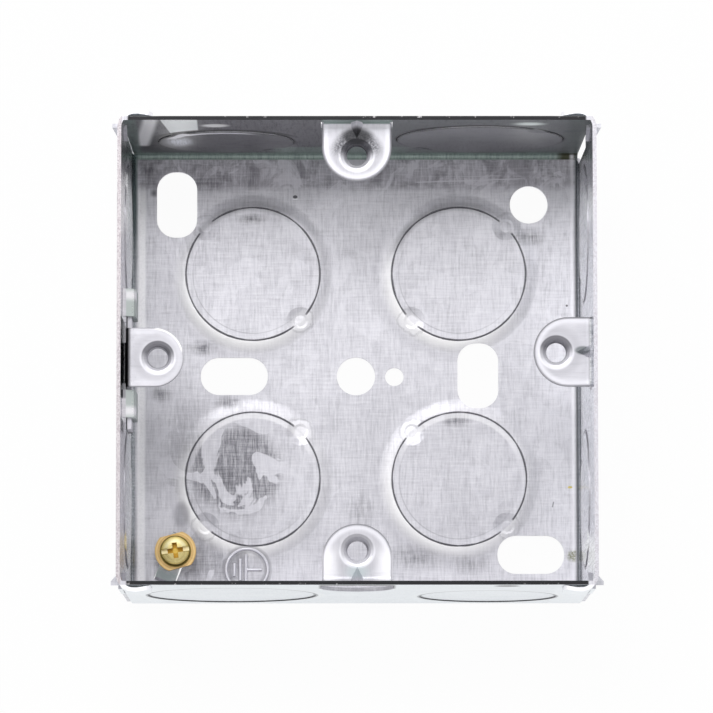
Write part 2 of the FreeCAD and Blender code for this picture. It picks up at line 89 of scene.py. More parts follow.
# Studio, in metres and radians; the camera was fitted to the photograph's corners and holes
FLOOR_HALF = 1.5
FLOOR_LEVEL = -0.00002
LAMP_PLACE = (-0.15, 0.45, 0.95)
LAMP_SIZE = 0.5
LAMP_WATTS = 3.2
SENSOR_MM = 36.0
PICTURE_PIXELS = 713
FOCAL_PIXELS = 6345.4
CAMERA_PLACE = (-0.00525, -0.11709, 0.985)
CAMERA_TURN = (0.1215, -0.0053, -0.0010)


class Graph:
    """The nodes of one material or of the world."""

    def __init__(self, owner):
        owner.use_nodes = True
        self.tree = owner.node_tree
        self.tree.nodes.clear()

    def put(self, value, socket):
        """Links a field or a socket into a socket, or sets the socket's own value."""
        if isinstance(value, Field):
            self.tree.links.new(value.socket, socket)
        elif isinstance(value, bpy.types.NodeSocket):
            self.tree.links.new(value, socket)
        elif socket.type == "RGBA" and len(value) == 3:
            socket.default_value = (*value, 1.0)
        else:
            socket.default_value = value

    def node(self, kind, settings=None, **inputs):
        """Adds a node: settings first, then its sockets by name, or by number as i0, i1 and on."""
        made = self.tree.nodes.new(kind)
        for key, value in (settings or {}).items():
            setattr(made, key, value)
        for key, value in inputs.items():
            numbered = key[0] == "i" and key[1:].isdigit()
            self.put(value, made.inputs[int(key[1:]) if numbered else key.replace("_", " ")])
        return made

    def field(self, kind, settings=None, output=0, **inputs):
        """A node's output as a field that sums and products can use."""
        return Field(self, self.node(kind, settings, **inputs).outputs[output])


class Field:
    """A number that varies over the surface; arithmetic on it adds Math nodes."""

    def __init__(self, graph, socket):
        self.graph = graph
        self.socket = socket

    def op(self, operation, *others, clamp=False, first=False):
        """Math node on this field and the others; first puts the others in front."""
        made = self.graph.node("ShaderNodeMath", {"operation": operation, "use_clamp": clamp})
        for socket, value in zip(made.inputs, (*others, self) if first else (self, *others)):
            self.graph.put(value, socket)
        return Field(self.graph, made.outputs[0])

    def __add__(self, other):
        return self.op("ADD", other)

    def __sub__(self, other):
        return self.op("SUBTRACT", other)

    def __mul__(self, other):
        return self.op("MULTIPLY", other)

    def __truediv__(self, other):
        return self.op("DIVIDE", other)

    def __rsub__(self, other):
        return self.op("SUBTRACT", other, first=True)

    __radd__ = __add__
    __rmul__ = __mul__

    def __abs__(self):
        return self.op("ABSOLUTE")

    def clamp(self):
        return self.op("ADD", 0.0, clamp=True)

    def larger(self, other):
        return self.op("MAXIMUM", other)

    def smaller(self, other):
        return self.op("MINIMUM", other)

    def sign(self):
        return self.op("SIGN")

    def root(self):
        return self.op("SQRT")


def rise(field, low, high):
    """0 below low, 1 above high and a smooth S between; high under low falls instead."""
    return field.graph.field("ShaderNodeMapRange", {"interpolation_type": "SMOOTHSTEP"}, 0,
                             Value=field, From_Min=low, From_Max=high)


def window(field, low, high, soft):
    """1 between low and high, with soft edges."""
    return rise(field, low - soft, low + soft) * rise(field, high + soft, high - soft)


def blot(x, y, x0, y0, reach_x, reach_y, soft=0.5):
    """1 inside an ellipse and 0 outside; soft is the share of the radius over which it fades."""
    away = length((x - x0) / reach_x, (y - y0) / reach_y)
    return rise(away, 1.0, 1.0 - soft)


def stroke(x, y, start, end, width):
    """1 along a straight line from start to end, fading to 0 at half the width on each side."""
    run = (end[0] - start[0], end[1] - start[1])
    size = math.hypot(*run)
    along = ((x - start[0]) * (run[0] / size) + (y - start[1]) * (run[1] / size)) / size
    off = abs((x - start[0]) * (-run[1] / size) + (y - start[1]) * (run[0] / size))
    return rise(off, width / 2, width / 6) * window(along, 0.02, 0.98, 0.04)


def length(*fields):
    """Root of the sum of squares."""
    total = fields[0] * fields[0]
    for field in fields[1:]:
        total = total + field * field
    return total.root()


class Surface(Graph):
    """Material graph with the object's own millimetre coordinates and the finishing shader."""

    def __init__(self, name):
        self.material = bpy.data.materials.new(name)
        super().__init__(self.material)
        place = self.node("ShaderNodeTexCoord").outputs["Object"]
        self.place = self.node("ShaderNodeVectorMath", {"operation": "SCALE"}, Vector=place,
                               Scale=1 / MM).outputs[0]
        split = self.node("ShaderNodeSeparateXYZ", Vector=self.place)
        self.x, self.y, self.z = (Field(self, split.outputs[i]) for i in range(3))
        facing = self.node("ShaderNodeNewGeometry").outputs["True Normal"]
        split = self.node("ShaderNodeSeparateXYZ", Vector=facing)
        self.nx, self.ny, self.nz = (Field(self, split.outputs[i]) for i in range(3))

    def noise(self, scale, detail=3.0, rough=0.55, stretch=(1, 1, 1), shift=(0, 0, 0), warp=0.0):
        """Noise from 0 to 1; scale in features per millimetre, and stretch under 1 draws it out."""
        place = self.node("ShaderNodeMapping", Vector=self.place, Scale=stretch,
                          Location=shift).outputs[0]
        return self.field("ShaderNodeTexNoise", None, 0, Vector=place, Scale=scale, Detail=detail,
                          Roughness=rough, Distortion=warp)

    def spread(self, noise, low, high):
        """Stretches the middle of a noise over 0 to 1."""
        return self.field("ShaderNodeMapRange", None, 0, Value=noise, From_Min=low, From_Max=high)

    def mix(self, share, first, second):
        """Colour that goes from first to second as share goes from 0 to 1."""
        return self.node("ShaderNodeMix", {"data_type": "RGBA"}, i0=share, i6=first,
                         i7=second).outputs[2]

    def finish(self, colour, rough, metal, heights):
        """Principled shader; heights are (field, distance in mm) pairs that feed one bump chain."""
        shader = self.node("ShaderNodeBsdfPrincipled", Base_Color=colour, Roughness=rough,
                           Metallic=metal)
        normal = None
        for field, distance in heights:
            bump = self.node("ShaderNodeBump", Height=field, Distance=distance * MM, Strength=1.0)
            if normal is not None:
                self.put(normal, bump.inputs["Normal"])
            normal = bump.outputs[0]
        self.put(normal, shader.inputs["Normal"])
        self.node("ShaderNodeOutputMaterial", Surface=shader.outputs[0])
        return self.material


def srgb(red, green, blue):
    """Linear colour of an 8-bit screen colour."""
    return tuple(((c / 255 + 0.055) / 1.055) ** 2.4 if c > 10 else c / 3295
                 for c in (red, green, blue))


def zinc(level):
    """Screen grey of the zinc coat, a little blue."""
    return srgb(level, level - 1, min(level + 6, 255))


def dished_tongue(s, colour, edge, from_hole, up_share, grain, dish_shade, border_highlight):
    """Colour of a lug: painted highlight on the rounded border, greyer middle, dish with painted
    shade above and a painted highlight below.

    edge is the distance in from the outline, from_hole the distance from the hole's axis, and
    up_share how far a point lies towards the top of the hole, from -1 to 1. dish_shade is the share
    of the painted shade in the dish and border_highlight the share of the painted highlight in the
    border.
    """
    colour = s.mix(window(from_hole, 2.5, 3.9, 0.7) * 0.55, colour, zinc(184))
    colour = s.mix(s.spread(grain, 0.5, 0.72) * 0.3, colour, zinc(160))
    # painted highlight along the border
    colour = s.mix(window(edge, 0.3, 0.95, 0.4) * border_highlight, colour, zinc(240))
    colour = s.mix(rise(edge, 0.2, 0.05) * 0.6, colour, zinc(130))
    # painted shade in the upper part of the dish, painted highlight in the lower part
    dish = rise(from_hole, 2.62, 2.4)
    colour = s.mix(dish * rise(up_share, -0.25, 0.5) * dish_shade, colour, zinc(104))
    colour = s.mix(dish * rise(up_share, -0.2, -0.7), colour, zinc(240))
    # painted highlight on the lip below the hole
    lip_highlight = window(from_hole, 2.45, 2.75, 0.15) * rise(up_share, 0.5, -0.3)
    return s.mix(lip_highlight * 0.7, colour, zinc(246))


def galvanised_sheet():
    """Bright zinc: crossed brush lines, cloudy stains, dished knockouts, dark sheared edges;
    painted highlights, shade and reflections inside the box.
    """
    s = Surface("galvanised_sheet")
    x, y, z = s.x, s.y, s.z
    upright = s.noise(3.3, 5, 0.72, (1.0, 0.10, 0.10))
    across = s.noise(2.9, 5, 0.72, (0.07, 1.0, 0.07), (3, 7, 1))
    cloud = s.noise(0.10, 4, 0.6, (1, 1, 1), (11, 3, 0))
    patch = s.noise(0.30, 5, 0.62, (1.0, 0.8, 1.0), (2, 9, 4), 0.5)
    flake = s.noise(0.16, 3, 0.5, (1.0, 0.8, 1.0), (7, 1, 2), 1.2)
    grit = s.noise(3.0, 4, 0.75)
    lines_dark = (s.spread(upright, 0.50, 0.66) * 0.65 + s.spread(across, 0.51, 0.68) * 0.5).clamp()
    lines_light = (s.spread(upright, 0.50, 0.36) * 0.5 + s.spread(across, 0.49, 0.35) * 0.5).clamp()

    # Plain sheet: paler in the upper half, painted light against the shade of the walls; paler
    # along the lower and right edges, greyer lower left
    on_back = rise(z, 1.25, 0.95) * rise(s.nz, 0.8, 0.95)
    colour = s.mix(s.spread(cloud, 0.38, 0.64), zinc(219), zinc(208))
    colour = s.mix(rise(y, -9.0, 8.0) * on_back * 0.7, colour, zinc(224))
    colour = s.mix(rise(y, -27.0, -31.0) * on_back * 0.5, colour, zinc(238))
    colour = s.mix(rise(y, 16.0, 26.0) * on_back * 0.5, colour, zinc(232))
    lower_left = rise(x, -8.0, -18.0) * rise(y, 2.0, -9.0) * rise(x, -33.0, -25.0) * on_back
    colour = s.mix(lower_left * 0.6, colour, zinc(192))
    colour = s.mix(rise(x, 26.0, 33.0) * on_back * 0.6, colour, zinc(240))
    colour = s.mix(lines_dark * 0.36, colour, zinc(162))
    colour = s.mix(lines_light * 0.35, colour, zinc(252))
    colour = s.mix(s.spread(grit, 0.60, 0.75) * 0.25, colour, zinc(150))

    # Knockouts of the back: way from the nearest disc's middle
    grid_x, grid_y, radius = BACK_KNOCKOUT
    off_x, off_y = x - x.sign() * grid_x, y - y.sign() * grid_y
    ring = length(off_x, off_y)
    share_x, share_y = off_x / ring, off_y / ring
    out_x, out_y = share_x * x.sign(), share_y * y.sign()
    tie = rise(abs(out_x - out_y), 0.20, 0.15) * rise(out_x * out_y, 0.2, 0.35)
    upper = rise(y, 2.0, 6.0)
    lower = 1.0 - upper
    disc = rise(ring, radius, radius - 0.3) * on_back

    # Worn patches with crisp borders, in which the brush lines show dark
    band = rise(y, 28.9, 30.6) * on_back
    worn_disc = blot(x, y, -18.5, -14.8, 7.8, 8.2, 0.35) * disc
    screw_side = blot(x, y, -23.0, -28.5, 10.0, 6.0, 0.7) * on_back
    left_side = blot(x, y, -26.5, -15.0, 4.5, 13.0, 0.8) * on_back
    worn = (band * 0.6 + worn_disc * 1.0 + screw_side * 0.55 + left_side * 0.4 + 0.12).smaller(1.0)
    stains = [(1.0 - length((x - mid_x) / half_x, (y - mid_y) / half_y)) * strength
              for mid_x, mid_y, half_x, half_y, strength in STAINS]
    stain = stains[0]
    for other in stains[1:]:
        stain = stain.larger(other)
    crisp = s.spread(flake, 0.435, 0.455)
    streaks = s.spread(upright, 0.38, 0.60) * 0.65 + s.spread(across, 0.40, 0.62) * 0.35
    lined = 0.2 + streaks * 0.8
    marked = (worn * crisp * (0.22 + streaks * 0.78)).larger(stain * lined * on_back * 1.6)
    colour = s.mix(marked.clamp(), colour, zinc(112))
    colour = s.mix(band * 0.45, colour, srgb(208, 204, 214))
    colour = s.mix(band * s.spread(patch, 0.48, 0.60) * 0.55, colour, srgb(116, 112, 122))
    colour = s.mix(band * lines_light * 0.5, colour, zinc(236))

    # Sloping borders of the knockouts: painted highlight where they turn to the light, painted
    # shade in a ring further out and above the shear line, a painted highlight just inside it
    slope = rise(ring, radius + 2.5, radius + 0.3) * rise(ring, radius, radius + 0.2) * on_back
    turned = (0.10 - share_x * 0.50 - share_y * 0.85).clamp()
    bright = turned * upper + (0.15 + turned * 0.85) * lower
    colour = s.mix(slope * bright * 0.95, colour, zinc(255))
    # painted shade in a ring beyond the sloping border, on the side towards the light
    halo = window(ring, radius + 2.0, radius + 3.2, 0.9) * turned * on_back
    colour = s.mix(halo * 0.3, colour, zinc(172))
    above = rise(share_y - share_x * 0.3, 0.45, 0.9)
    shade = rise(abs(ring - radius - 0.15), 1.1, 0.1) * above * upper * on_back
    colour = s.mix(shade * 0.5, colour, zinc(104))
    # painted highlight just inside the shear line, strongest at the top of the lower discs
    inner_highlight = window(ring, radius - 0.95, radius - 0.2, 0.2) * on_back
    colour = s.mix(inner_highlight * (0.10 + lower * 0.05), colour, zinc(250))
    colour = s.mix(inner_highlight * rise(share_y, 0.2, 0.75) * lower * 0.4, colour, zinc(254))
    thin_ring = window(ring, radius - 1.15, radius - 1.0, 0.08) * turned * on_back
    colour = s.mix(thin_ring * 0.45, colour, zinc(150))
    inward = rise(out_x, 0.0, -0.3)
    blob = length(ring - (radius + 0.3), (out_x - out_y) * 6.0) - s.spread(patch, 0.4, 0.6) * 0.5
    knob = rise(blob, 1.5, 0.9) * rise(out_x * out_y, 0.2, 0.35) * on_back
    colour = s.mix(knob * inward * 0.45, colour, zinc(252))
    notch = rise(abs(blob - 1.35), 0.22, 0.08) * rise(ring, radius - 0.3, radius + 0.2) * on_back
    colour = s.mix(notch * rise(out_x * out_y, 0.2, 0.35) * 0.2, colour, zinc(120))
    thick = 0.03 + s.spread(patch, 0.4, 0.6) * 0.07
    line = rise(abs(ring - radius), thick + 0.14, thick) * on_back * (1.0 - tie)
    colour = s.mix(line * 0.85, colour, zinc(84))

    # Knockouts of the walls: way out from each shear line, below 0 on the disc
    along_end = x * y.sign()
    small = length(along_end + END_SMALL[0], z - END_SMALL[1]) - END_SMALL[2]
    large = length(along_end - END_LARGE[0], z - END_LARGE[1]) - END_LARGE[2]
    beside = length(abs(y) - SIDE_KNOCKOUT[0], z - SIDE_KNOCKOUT[1]) - SIDE_KNOCKOUT[2]
    end_face = rise(abs(s.ny), 0.8, 0.95)
    side_face = rise(abs(s.nx), 0.8, 0.95)
    end_line = rise(abs(small).smaller(abs(large)), 0.5, 0.2) * end_face
    side_line = rise(abs(beside), 0.6, 0.25) * side_face * rise(abs(y), 9.5, 10.2)

    # Inside of the top wall: painted dark reflection of the room, with painted glare, highlights
    # and green reflections, over its knockouts' shear lines; (x, z) places the marks
    inside_top = rise(y, INNER_Y - 0.4, INNER_Y - 0.1) * rise(s.ny, -0.6, -0.9)
    streaky = s.spread(upright, 0.36, 0.66)
    # painted dark reflection of the room, streaky, with darker painted patches
    top_wall_reflection_and_lines = s.mix(streaky, zinc(66), zinc(132))
    top_wall_reflection_and_lines = s.mix(rise(x, -8.0, 4.0) * 0.45, top_wall_reflection_and_lines, srgb(112, 120, 120))
    top_wall_reflection_and_lines = s.mix(blot(x, z, -30.5, 12.0, 7.0, 11.0, 0.5) * 0.85, top_wall_reflection_and_lines, srgb(40, 40, 46))
    top_wall_reflection_and_lines = s.mix(blot(x, z, -24.0, 4.0, 9.0, 4.0, 0.5) * 0.6, top_wall_reflection_and_lines, srgb(52, 52, 58))
    inside_small = rise(small, 0.0, -0.5)
    top_wall_reflection_and_lines = s.mix(inside_small, top_wall_reflection_and_lines, s.mix(streaky, zinc(54), zinc(108)))
    # painted glare and a painted highlight crescent inside the small knockout
    glare = inside_small * blot(x, z, -27.3, 14.5, 2.8, 6.5, 0.9) * (0.5 + streaky * 0.5)
    top_wall_reflection_and_lines = s.mix(glare, top_wall_reflection_and_lines, srgb(240, 243, 255))
    crescent_highlight = window(small, -1.9, -0.7, 0.25) * rise(z, 16.0, 19.0) * rise(x, -14.0, -19.0)
    top_wall_reflection_and_lines = s.mix(crescent_highlight, top_wall_reflection_and_lines, zinc(250))
    inside_large = rise(large, 0.0, -0.5)
    top_wall_reflection_and_lines = s.mix(inside_large * rise(z, 22.0, 8.0) * 0.8, top_wall_reflection_and_lines, s.mix(streaky, zinc(58), zinc(120)))
    top_wall_reflection_and_lines = s.mix(inside_large * rise(z, 12.0, 26.0) * 0.6, top_wall_reflection_and_lines, zinc(148))
    # painted reflection of a white patch
    reflected_white_patch = (rise(x + (z - 34.0) * 0.1, -29.9, -29.6) * rise(x, -24.1, -24.4)
                   * rise(small, 0.4, 0.7) * rise(z, 21.0, 22.0))
    top_wall_reflection_and_lines = s.mix(reflected_white_patch, top_wall_reflection_and_lines, srgb(250, 254, 255))
    # painted highlights: a round spot and a long streak
    top_wall_reflection_and_lines = s.mix(blot(x, z, -21.6, 29.4, 2.7, 2.2, 0.6), top_wall_reflection_and_lines, srgb(255, 255, 255))
    top_wall_reflection_and_lines = s.mix(stroke(x, z, (-31.2, 36.5), (-33.4, 9.0), 3.2), top_wall_reflection_and_lines, srgb(250, 250, 252))
    # painted green reflection at the left end; painted highlight and painted shade at the right
    green_lines = s.mix(streaky, srgb(74, 86, 84), srgb(128, 144, 140))
    top_wall_reflection_and_lines = s.mix(rise(x, -33.2, -33.9) * 0.9, top_wall_reflection_and_lines, green_lines)
    top_wall_reflection_and_lines = s.mix(blot(x, z, 26.3, 31.0, 3.2, 2.2, 0.7) * 0.95, top_wall_reflection_and_lines, srgb(246, 255, 252))
    top_wall_reflection_and_lines = s.mix(rise(x, 31.5, 33.0) * 0.7, top_wall_reflection_and_lines, srgb(84, 94, 92))
    top_wall_reflection_and_lines = s.mix(end_line * (0.6 + rise(z, 22.0, 28.0) * 0.4), top_wall_reflection_and_lines, srgb(20, 20, 24))
    arc = rise(abs(small - 0.5), 1.3, 0.8) * rise(z, 17.0, 21.0)
    top_wall_reflection_and_lines = s.mix(arc * 0.95, top_wall_reflection_and_lines, srgb(20, 20, 24))
    arc = rise(abs(large - 0.2), 1.1, 0.6) * rise(z, 22.0, 26.0) * rise(x, 28.0, 22.0)
    top_wall_reflection_and_lines = s.mix(arc * 0.9, top_wall_reflection_and_lines, srgb(22, 22, 26))
    # painted green reflection near the back, round the middle and where the top lug bends from the
    # wall
    green_reflection = rise(z, 3.0, 2.2) + rise(x, -14.0, -11.0) * rise(x, 9.0, 6.0) * rise(z, 9.0, 7.5)
    green_lines = s.mix(streaky, srgb(112, 126, 122), srgb(152, 166, 162))
    top_wall_reflection_and_lines = s.mix(green_reflection.smaller(1.0) * 0.9, top_wall_reflection_and_lines, green_lines)
    lug_root = rise(abs(x), 5.6, 5.2) * rise(z, 24.0, 25.0)
    top_wall_reflection_and_lines = s.mix(lug_root, top_wall_reflection_and_lines, srgb(136, 152, 148))
    colour = s.mix(inside_top, colour, top_wall_reflection_and_lines)
    # Painted green reflection in the bend between the top wall and the back, darker at its right
    # end
    fold = rise(y, INNER_Y - 0.95, INNER_Y - 0.7) * rise(z, 2.4, 1.8) * rise(s.nz - s.ny, 0.5, 0.8)
    fold_reflection = s.mix(streaky, srgb(130, 144, 140), srgb(168, 182, 177))
    fold_reflection = s.mix(rise(x, 31.0, 32.6), fold_reflection, srgb(72, 74, 56))
    colour = s.mix(fold, colour, fold_reflection)

    # Inside of the side walls and their bends: painted highlights, painted shade near the top and
    # along the bends, and a painted shadow in the gap behind the adjustable lug, over the walls'
    # shear lines
    facing = s.nx * x.sign()
    inside_side = rise(abs(x), 33.6, 33.9) * rise(facing, -0.25, -0.5) * rise(z, 0.8, 1.0)
    left = rise(x, 0.0, -1.0)
    side = s.mix(s.spread(across, 0.42, 0.62), srgb(250, 252, 255), srgb(206, 210, 214))
    side = s.mix(rise(z, 15.0, 27.0) * left * 0.5, side, srgb(230, 220, 228))
    # painted highlight in a band low on both walls
    side = s.mix(window(z, 3.5, 11.0, 2.5) * 0.5, side, srgb(255, 255, 255))
    # painted shade towards the top wall
    side = s.mix(rise(y, 26.0, 31.0) * left * 0.75, side, srgb(72, 78, 80))
    side = s.mix(rise(y, 30.5, 33.0) * (1.0 - left) * 0.75, side, srgb(84, 90, 92))
    side = s.mix(side_line * (0.45 + s.spread(patch, 0.42, 0.56) * 0.5), side, srgb(70, 72, 78))
    # painted highlight beside the knockout's shear line
    side = s.mix(window(beside, 0.5, 1.4, 0.3) * 0.7, side, zinc(250))
    speckle = s.spread(grit, 0.42, 0.56)
    # painted shade along the bend at the foot of the left wall, speckled and strongest towards the
    # top
    speckled_bend_shade = (0.22 + speckle * 0.3 + rise(y, 18.0, 26.0) * 0.6).smaller(1.0)
    low_left = rise(z, 4.0, 3.0) * left * speckled_bend_shade
    side = s.mix(low_left, side, srgb(104, 118, 118))
    # painted shade along the foot of the right wall, with a paler painted reflection in it
    low_right = window(z, 1.5, 3.3, 0.4) * (1.0 - left)
    side = s.mix(low_right * 0.8, side, srgb(112, 118, 122))
    side = s.mix(low_right * blot(y, z, -9.0, 2.5, 5.0, 6.0, 0.5) * 0.5, side, srgb(146, 158, 166))
    # painted shadow in the gap behind the adjustable lug
    gap_shadow = left * rise(abs(y + 0.8), 6.4, 5.9) * rise(z, 11.0, 14.0)
    side = s.mix(gap_shadow, side, srgb(20, 20, 23))
    colour = s.mix(inside_side, colour, side)
    # Painted highlights and painted shade along the bends at the foot of the side walls
    toe = rise(z, 1.7, 1.1) * rise(s.nz, 0.3, 0.6)
    glint = window(x, -34.1, -32.9, 0.25) * toe * (0.75 + speckle * 0.25)
    colour = s.mix(glint * rise(y, 31.0, 28.0) * 0.95, colour, zinc(253))
    toe_shadow = window(x, -34.9, -34.2, 0.2) * toe * rise(y, 12.0, 26.0)
    colour = s.mix(toe_shadow * 0.8, colour, srgb(104, 118, 118))
    colour = s.mix(window(x, 33.6, 34.2, 0.25) * toe * 0.6, colour, zinc(246))
    colour = s.mix(window(x, 34.35, 34.8, 0.15) * toe * 0.7, colour, srgb(104, 110, 114))

    # Guides of the adjustable lug: smooth, darker towards the back, with a painted highlight on the
    # rounded upper end
    guide = window(x, -35.0, -33.1, 0.1) * window(abs(y), 5.4, 10.0, 0.1) * rise(z, 22.0, 22.6)
    guide_tone = s.mix(rise(z, 26.0, 30.6), srgb(150, 160, 158), srgb(196, 204, 202))
    guide_tone = s.mix(window(abs(y), 8.2, 9.5, 0.5) * rise(z, 26.0, 29.0), guide_tone, zinc(252))
    colour = s.mix(guide, colour, guide_tone)

    # Lugs of the top, bottom and right walls, with painted shade and highlights in their dishes and
    # borders, a painted shadow at the top lug's root and painted highlights on the bottom lug's
    # shoulders
    at_end = rise(abs(y), 24.0, 24.4) * rise(abs(x), 6.0, 5.7) * rise(abs(y), 34.9, 34.6)
    at_side = rise(x, 24.0, 24.4) * rise(abs(y), 6.0, 5.7) * rise(x, 35.4, 35.1)
    front = rise(z, 29.3, 30.0)
    tone = s.mix(s.spread(cloud, 0.40, 0.62), zinc(216), zinc(204))
    end_edge = LUG_HALF_WIDTH - length(x, (abs(y) - END_LUG_ROUND).smaller(0.0))
    end_hole = length(x, abs(y) - LUG_HOLE)
    top_half = rise(y, 0.0, 1.0)
    low_half = 1.0 - top_half
    up_share = (y - y.sign() * LUG_HOLE) / end_hole
    ends = dished_tongue(s, tone, end_edge, end_hole, up_share, upright, 0.4 + top_half * 0.6, 0.75)
    shadow = top_half * rise(y, 29.2, 31.6) * rise(end_hole, 4.6, 2.9) * (0.45 + speckle * 0.4)
    ends = s.mix(shadow, ends, srgb(62, 62, 68))
    # painted shadow beside the rib at the top lug's root
    ends = s.mix(top_half * blot(x, y, 0.0, 33.0, 3.0, 1.6, 0.5) * 0.85, ends, srgb(38, 38, 42))
    # painted highlights on the bottom lug's shoulders
    shoulder_highlights = low_half * rise(abs(x), 2.2, 4.2) * rise(y, -28.5, -31.5)
    ends = s.mix(shoulder_highlights * 0.8, ends, zinc(251))
    root = low_half * blot(x, y, 0.0, -33.4, 2.6, 1.6, 0.8)
    ends = s.mix(root * 0.6, ends, srgb(190, 204, 206))
    colour = s.mix(at_end * front, colour, ends)
    side_edge = LUG_HALF_WIDTH - length(y, (x - SIDE_LUG_ROUND).smaller(0.0))
    side_hole = length(x - LUG_HOLE, y)
    sides = dished_tongue(s, tone, side_edge, side_hole, y / side_hole, across, 0.8, 0.7)
    sides = s.mix(blot(x, y, 34.2, 0.2, 1.5, 0.8, 0.4) * 0.75, sides, srgb(96, 104, 106))
    colour = s.mix(at_side * front, colour, sides)

    # Sheared rims of the top and bottom walls, nearly black with bright burrs
    rim = rise(z, 34.85, 34.93) * rise(s.nz, 0.7, 0.9)
    sheared = rim * rise(abs(y), 34.9, 35.0) * rise(abs(x), 34.9, 34.6) * rise(abs(y), 35.68, 35.6)
    fleck = s.noise(0.9, 4, 0.8, (1, 0.4, 0.4), (5, 0, 0))
    burr = s.spread(fleck, 0.60, 0.66) * rise(abs(y), 35.30, 35.45)
    bright = (burr + s.spread(fleck, 0.70, 0.74)).smaller(1.0)
    colour = s.mix(sheared, colour, s.mix(bright, srgb(30, 30, 34), srgb(176, 174, 176)))

    # Rims of the side walls, dusty, and the bright corner tabs
    dust = s.spread(s.noise(5.5, 2, 0.5), 0.42, 0.60)
    side_rim = rim * rise(abs(x), 35.5, 35.7)
    left_tone = s.mix(dust, srgb(208, 203, 206), srgb(178, 170, 175))
    right_tone = s.mix(dust, zinc(218), srgb(196, 192, 199))
    colour = s.mix(side_rim * left, colour, left_tone)
    colour = s.mix(side_rim * (1.0 - left), colour, right_tone)
    ears = rise(abs(y), 35.58, 35.66) * rise(abs(x), 29.5, 30.5)
    colour = s.mix(ears * 0.9, colour, zinc(252))

    # Outsides are a little blue, with grey shear lines
    end_outside = rise(abs(y), 35.3, 35.5) * rise(abs(s.ny), 0.6, 0.9)
    side_outside = rise(facing, 0.6, 0.9) * rise(abs(x), 34.0, 34.6)
    outside = (end_outside + side_outside).clamp()
    colour = s.mix(outside * 0.8, colour, srgb(240, 246, 250))
    colour = s.mix(outside * (end_line + side_line).clamp() * 0.7, colour, srgb(88, 90, 98))
    halo = outside * window(large.smaller(small), 0.4, 1.3, 0.3) * end_face
    colour = s.mix(halo * 0.5, colour, srgb(240, 244, 246))

    # Outside of the bottom wall: painted shade round its window, and a grey lens near the rim
    below = rise(y, -34.95, -35.15)
    # painted shade of the opening
    window_shade = below * window(z, 28.0, 34.3, 0.3) * rise(abs(x), 6.0, 5.4)
    colour = s.mix(window_shade, colour, srgb(76, 76, 84))
    lens = below * blot(x, z, 22.6, 32.6, 2.4, 1.9, 0.5)
    colour = s.mix(lens * 0.9, colour, srgb(96, 98, 104))

    # Shear grooves of the knockouts in the top and bottom walls
    end_shear = rise(abs(small).smaller(abs(large)), 0.7, 0.5)
    groove = rise(abs(y), 34.98, 35.04) * rise(abs(s.ny), 0.6, 0.4) * end_shear
    colour = s.mix(groove * rise(z, 2.0, 2.6) * 0.9, colour, srgb(34, 34, 38))

    # Bridge under the earth screw, and the pressed sign beside it, with painted shade round its
    # ring and over the left half of its inside, and painted highlights on its ridges
    from_screw = length(x - EARTH[0], y - EARTH[1])
    bridge = rise(from_screw, 6.2, 5.8) * rise(z, 0.95, 1.3) * rise(abs(x), 34.0, 33.4)
    bridge_tone = s.mix(s.spread(patch, 0.4, 0.6), srgb(250, 255, 253), srgb(224, 236, 232))
    colour = s.mix(bridge, colour, bridge_tone)
    sign = length(x - SIGN[0], y - SIGN[1])
    # painted shade along the foot of the sign's ring
    colour = s.mix(rise(abs(sign - SIGN_RADIUS), 0.85, 0.4) * on_back * 0.5, colour, zinc(138))
    left_of_sign = rise(x, SIGN[0] + 0.4, SIGN[0] - 0.6)
    sign_shade = window(sign, -1.0, SIGN_RADIUS - 0.4, 0.2) * on_back * left_of_sign
    colour = s.mix(sign_shade * 0.4, colour, zinc(128))
    by_sign = rise(sign, SIGN_RADIUS + 0.7, SIGN_RADIUS + 0.5)
    # painted highlight on the sign's ridges
    ridge_highlight = rise(z, SHEET + 0.08, SHEET + 0.16) * by_sign * rise(z, 1.2, 1.1)
    colour = s.mix(ridge_highlight * 0.9, colour, zinc(248))

    # Single marks: stains at the slot, a yellow chip, a tick, a nick, scratches, an olive stain
    for place, tint, share in (
            (blot(x, y, -32.2, 32.6, 2.0, 1.6, 1.0) * lined, srgb(104, 102, 108), 0.8),
            (blot(x, y, -31.6, 28.9, 0.9, 0.9, 1.0), srgb(96, 94, 102), 0.8),
            (blot(x, y, -23.6, 30.6, 3.2, 2.2, 1.0) * lined, srgb(98, 96, 104), 0.8),
            (blot(x, y, -27.2, -21.7, 1.6, 2.6), zinc(150), 0.6),
            (blot(x, y, 33.36, -17.45, 0.42, 0.22, 0.3), srgb(214, 196, 110), 0.95),
            (stroke(x, y, (30.6, -20.6), (30.8, -19.7), 0.3), zinc(110), 0.7),
            (blot(x, y, -9.5, 28.3, 0.42, 0.32, 0.3), zinc(84), 0.9),
            (stroke(x, y, (-9.9, 27.95), (-9.1, 27.95), 0.3), zinc(250), 0.8),
            (blot(x, y, 33.0, 11.1, 0.2, 0.2, 0.3), zinc(90), 0.9),
            (stroke(x, y, (9.0, 30.6), (26.5, 31.2), 0.3), zinc(228), 0.7),
            (stroke(x, y, (15.5, 31.5), (23.0, 31.7), 0.25), zinc(222), 0.5),
            (blot(x, y, 33.9, -28.2, 1.4, 1.2, 0.6) * (0.35 + speckle * 0.65),
             srgb(122, 124, 88), 0.85)):
        colour = s.mix(place * on_back * share, colour, tint)

    rough = 0.36 + lines_dark * 0.12 + crisp * worn * 0.10
    dish = rise(ring, radius + 2.2, radius) * on_back
    heights = [(upright, 0.02), (across, 0.015), (patch, 0.02), (dish, 0.20), (grit, 0.008)]
    metal = DULL_METAL + inside_side * (1.0 - DULL_METAL) - bridge * 0.45
    return s.finish(colour, rough - inside_side * 0.14, metal, heights)


